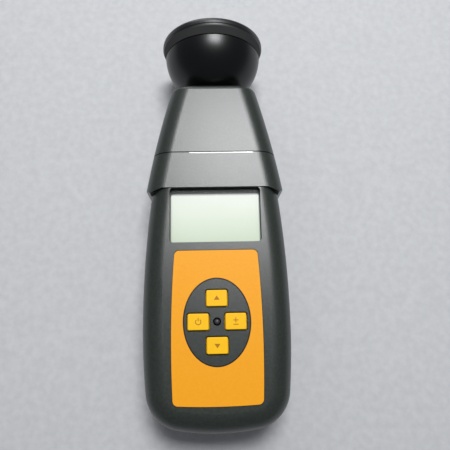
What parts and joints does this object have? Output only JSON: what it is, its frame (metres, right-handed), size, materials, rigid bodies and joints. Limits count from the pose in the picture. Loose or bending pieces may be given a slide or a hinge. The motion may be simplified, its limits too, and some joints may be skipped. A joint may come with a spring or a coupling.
{
  "type": "handheld xenon stroboscope",
  "caption": "Handheld xenon stroboscope: a flash lamp cup on a tapered head, a display and keypad on the front, and a sliding battery door in the back.",
  "frame": {"origin": "on the flat back, on the centre line, behind the middle of the display", "axes": "+X to the right of the display, +Y to the lamp, +Z out of the front face"},
  "size_m": [0.074, 0.2097, 0.0572],
  "materials": {
    "housing": "fine moulded texture, satin",
    "panel": "satin printed overlay",
    "key": "satin moulded",
    "window": "clear polished",
    "display": "pale green liquid crystal",
    "holder": "satin",
    "rubber": "matte",
    "rubber_pale": "matte silicone",
    "board": "lacquered laminate",
    "steel": "nickel plated",
    "screw_black": "black zinc",
    "lamp_lens": "tinted",
    "chip": "moulded epoxy",
    "capacitor": "sleeved can",
    "ferrite": "sintered core with tape",
    "copper": "copper",
    "cell": "sleeved can",
    "cup": "semi-gloss black",
    "ring": "satin black",
    "mirror": "vacuum coated mirror",
    "ceramic": "unglazed ceramic",
    "tube_glass": "clear",
    "lead_red": "silicone sleeve"
  },
  "bodies": {
    "case": {"battery_1": "cell", "battery_2": "cell", "battery_3": "cell", "battery_4": "cell", "battery_leaves": "steel", "battery_plates": "steel", "board_screws": "steel", "case_screws": "screw_black", "contact_strips": "rubber", "crystal": "steel", "cup_nut": "cup", "cup_ring": "ring", "display_glass": "display", "display_holder": "holder", "display_window": "window", "flash_board": "board", "flash_board_screws": "steel", "flash_capacitor": "capacitor", "flash_tube": "tube_glass", "front_lens": "window", "front_panel": "panel", "front_shell": "housing", "head_cap": "housing", "head_screws": "screw_black", "indicator_lamp": "lamp_lens", "inverter_transformer": "ferrite", "key_dome_down": "rubber_pale", "key_dome_left": "rubber_pale", "key_dome_right": "rubber_pale", "key_dome_up": "rubber_pale", "keypad_mat": "rubber_pale", "lamp_base": "ceramic", "lamp_cup": "cup", "lamp_leads": "lead_red", "lamp_pins": "steel", "lens_gasket": "rubber", "main_board": "board", "microcontroller": "chip", "rear_shell": "housing", "reflector": "mirror", "trigger_bands": "copper", "trigger_coil": "copper"},
    "key_up": {"key_up": "key"},
    "key_down": {"key_down": "key"},
    "key_left": {"key_left": "key"},
    "key_right": {"key_right": "key"},
    "battery_door": {"battery_door": "housing"}
  },
  "joints": [
    {"name": "key_up_press", "type": "slide", "parent": "case", "child": "key_up", "axis": [0, 0, -1], "range_m": [0, 0.001], "stiffness_N_per_m": 1500, "deforming": ["key_dome_up"]},
    {"name": "key_down_press", "type": "slide", "parent": "case", "child": "key_down", "axis": [0, 0, -1], "range_m": [0, 0.001], "stiffness_N_per_m": 1500, "deforming": ["key_dome_down"]},
    {"name": "key_left_press", "type": "slide", "parent": "case", "child": "key_left", "axis": [0, 0, -1], "range_m": [0, 0.001], "stiffness_N_per_m": 1500, "deforming": ["key_dome_left"]},
    {"name": "key_right_press", "type": "slide", "parent": "case", "child": "key_right", "axis": [0, 0, -1], "range_m": [0, 0.001], "stiffness_N_per_m": 1500, "deforming": ["key_dome_right"]},
    {"name": "battery_door_slide", "type": "slide", "parent": "case", "child": "battery_door", "axis": [0, -1, 0], "range_m": [0, 0.0675]}
  ]
}
